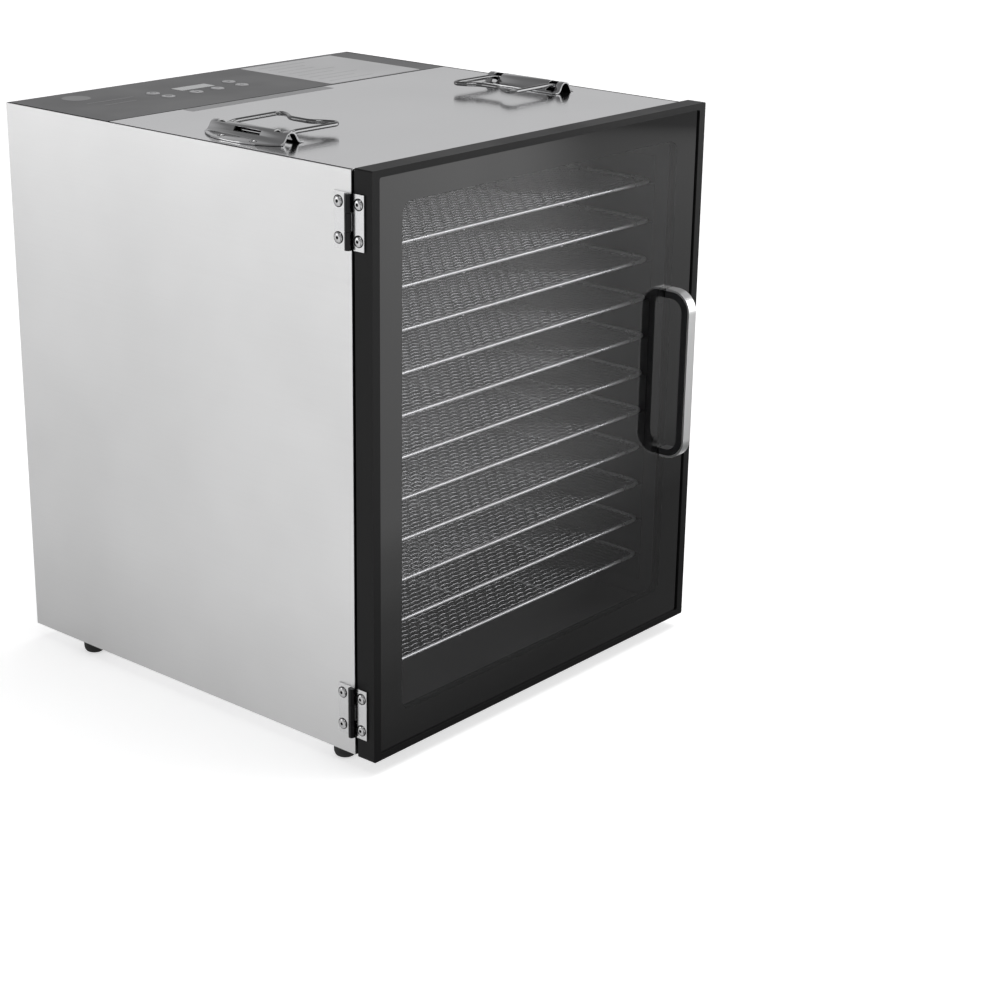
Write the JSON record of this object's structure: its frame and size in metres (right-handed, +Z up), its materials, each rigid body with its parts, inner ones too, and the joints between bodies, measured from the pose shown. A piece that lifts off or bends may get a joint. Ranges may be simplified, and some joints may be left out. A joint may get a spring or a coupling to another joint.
{
  "type": "food dehydrator",
  "caption": "Countertop food dehydrator: steel cabinet, hinged smoked-glass door, sliding mesh trays, rear fan and ring heater, top controls, two folding bail handles.",
  "frame": {"origin": "middle of the bounding box's footprint, on the surface the feet stand on", "axes": "+Z up, the door faces -Y, the door's hinges are on the -X side"},
  "size_m": [0.4479, 0.4739, 0.5239],
  "materials": {
    "cabinet_steel": "satin, fine horizontal brushing",
    "black_frame": "satin black powder coat",
    "liner": "dark satin liner",
    "rack_steel": "satin",
    "tray_wire": "polished woven stainless wire",
    "bright_wire": "polished wire",
    "heater_sheath": "heat-tinted sheath",
    "motor": "satin",
    "fan_aluminium": "pressed blade",
    "black_plastic": "fine grain",
    "handle_steel": "brushed along its length",
    "rubber": "matt",
    "seal": "matt silicone",
    "smoked_glass": "smoked, glossy",
    "display_glass": "tinted, glossy",
    "hinge_steel": "satin",
    "hinge_pin": "oiled",
    "bracket_steel": "polished press work",
    "panel_plastic": "satin film",
    "key_plastic": "satin",
    "circuit_board": "solder mask"
  },
  "bodies": {
    "cabinet": {"side_panel_left": "cabinet_steel", "side_panel_right": "cabinet_steel", "top_panel": "cabinet_steel", "base_plate": "cabinet_steel", "rear_panel": "cabinet_steel", "front_frame": "black_frame", "liner_left": "liner", "liner_right": "liner", "liner_ceiling": "liner", "liner_floor": "liner", "fan_baffle": "liner", "tray_rack_left": "rack_steel", "tray_rack_right": "rack_steel", "rear_fan_guard": "bright_wire", "heater_element": "heater_sheath", "temperature_probe": "heater_sheath", "fan_motor": "motor", "power_inlet": "black_plastic", "door_magnet": "black_plastic", "foot_front_left": "rubber", "foot_front_right": "rubber", "foot_rear_left": "rubber", "foot_rear_right": "rubber", "display_window": "display_glass", "hinge_leaf_cabinet_upper": "hinge_steel", "hinge_pin_upper": "hinge_pin", "hinge_leaf_cabinet_lower": "hinge_steel", "hinge_pin_lower": "hinge_pin", "bail_bracket_left": "bracket_steel", "bail_bracket_right": "bracket_steel", "control_panel": "panel_plastic", "control_board": "circuit_board"},
    "door": {"door_frame": "black_frame", "door_glass": "smoked_glass", "door_inner_frame": "black_frame", "door_seal": "seal", "handle_grip": "black_plastic", "handle_trim": "handle_steel", "hinge_leaf_door_upper": "hinge_steel", "hinge_leaf_door_lower": "hinge_steel"},
    "bail_handle_left": {"bail_left": "bright_wire"},
    "bail_handle_right": {"bail_right": "bright_wire"},
    "fan": {"fan_blade": "fan_aluminium"},
    "tray_01_body": {"tray_01": "tray_wire"},
    "tray_02_body": {"tray_02": "tray_wire"},
    "tray_03_body": {"tray_03": "tray_wire"},
    "tray_04_body": {"tray_04": "tray_wire"},
    "tray_05_body": {"tray_05": "tray_wire"},
    "tray_06_body": {"tray_06": "tray_wire"},
    "tray_07_body": {"tray_07": "tray_wire"},
    "tray_08_body": {"tray_08": "tray_wire"},
    "tray_09_body": {"tray_09": "tray_wire"},
    "tray_10_body": {"tray_10": "tray_wire"},
    "tray_11_body": {"tray_11": "tray_wire"},
    "key_power_body": {"key_power": "key_plastic"},
    "key_time_body": {"key_time": "key_plastic"},
    "key_temperature_body": {"key_temperature": "key_plastic"},
    "key_minus_body": {"key_minus": "key_plastic"},
    "key_plus_body": {"key_plus": "key_plastic"},
    "key_start_body": {"key_start": "key_plastic"}
  },
  "joints": [
    {"name": "door_hinge", "type": "hinge", "parent": "cabinet", "child": "door", "pos_m": [-0.2205, -0.1886, 0.264], "axis": [0, 0, -1], "range_deg": [0, 180]},
    {"name": "bail_left_pivot", "type": "hinge", "parent": "cabinet", "child": "bail_handle_left", "pos_m": [-0.178, -0.04, 0.5188], "axis": [0, -1, 0], "range_deg": [0, 95]},
    {"name": "bail_right_pivot", "type": "hinge", "parent": "cabinet", "child": "bail_handle_right", "pos_m": [0.178, -0.04, 0.5188], "axis": [0, 1, 0], "range_deg": [0, 95]},
    {"name": "fan_spin", "type": "hinge", "parent": "cabinet", "child": "fan", "pos_m": [0, 0.197, 0.254], "axis": [0, 1, 0], "continuous": true},
    {"name": "tray_01_slide", "type": "slide", "parent": "cabinet", "child": "tray_01_body", "axis": [0, -1, 0], "range_m": [0, 0.015]},
    {"name": "tray_02_slide", "type": "slide", "parent": "cabinet", "child": "tray_02_body", "axis": [0, -1, 0], "range_m": [0, 0.015]},
    {"name": "tray_03_slide", "type": "slide", "parent": "cabinet", "child": "tray_03_body", "axis": [0, -1, 0], "range_m": [0, 0.015]},
    {"name": "tray_04_slide", "type": "slide", "parent": "cabinet", "child": "tray_04_body", "axis": [0, -1, 0], "range_m": [0, 0.015]},
    {"name": "tray_05_slide", "type": "slide", "parent": "cabinet", "child": "tray_05_body", "axis": [0, -1, 0], "range_m": [0, 0.015]},
    {"name": "tray_06_slide", "type": "slide", "parent": "cabinet", "child": "tray_06_body", "axis": [0, -1, 0], "range_m": [0, 0.015]},
    {"name": "tray_07_slide", "type": "slide", "parent": "cabinet", "child": "tray_07_body", "axis": [0, -1, 0], "range_m": [0, 0.015]},
    {"name": "tray_08_slide", "type": "slide", "parent": "cabinet", "child": "tray_08_body", "axis": [0, -1, 0], "range_m": [0, 0.015]},
    {"name": "tray_09_slide", "type": "slide", "parent": "cabinet", "child": "tray_09_body", "axis": [0, -1, 0], "range_m": [0, 0.015]},
    {"name": "tray_10_slide", "type": "slide", "parent": "cabinet", "child": "tray_10_body", "axis": [0, -1, 0], "range_m": [0, 0.015]},
    {"name": "tray_11_slide", "type": "slide", "parent": "cabinet", "child": "tray_11_body", "axis": [0, -1, 0], "range_m": [0, 0.015]},
    {"name": "key_power_press", "type": "slide", "parent": "cabinet", "child": "key_power_body", "axis": [0, 0, -1], "range_m": [0, 0.0005], "stiffness_N_per_m": 400},
    {"name": "key_time_press", "type": "slide", "parent": "cabinet", "child": "key_time_body", "axis": [0, 0, -1], "range_m": [0, 0.0005], "stiffness_N_per_m": 400},
    {"name": "key_temperature_press", "type": "slide", "parent": "cabinet", "child": "key_temperature_body", "axis": [0, 0, -1], "range_m": [0, 0.0005], "stiffness_N_per_m": 400},
    {"name": "key_minus_press", "type": "slide", "parent": "cabinet", "child": "key_minus_body", "axis": [0, 0, -1], "range_m": [0, 0.0005], "stiffness_N_per_m": 400},
    {"name": "key_plus_press", "type": "slide", "parent": "cabinet", "child": "key_plus_body", "axis": [0, 0, -1], "range_m": [0, 0.0005], "stiffness_N_per_m": 400},
    {"name": "key_start_press", "type": "slide", "parent": "cabinet", "child": "key_start_body", "axis": [0, 0, -1], "range_m": [0, 0.0005], "stiffness_N_per_m": 400}
  ]
}
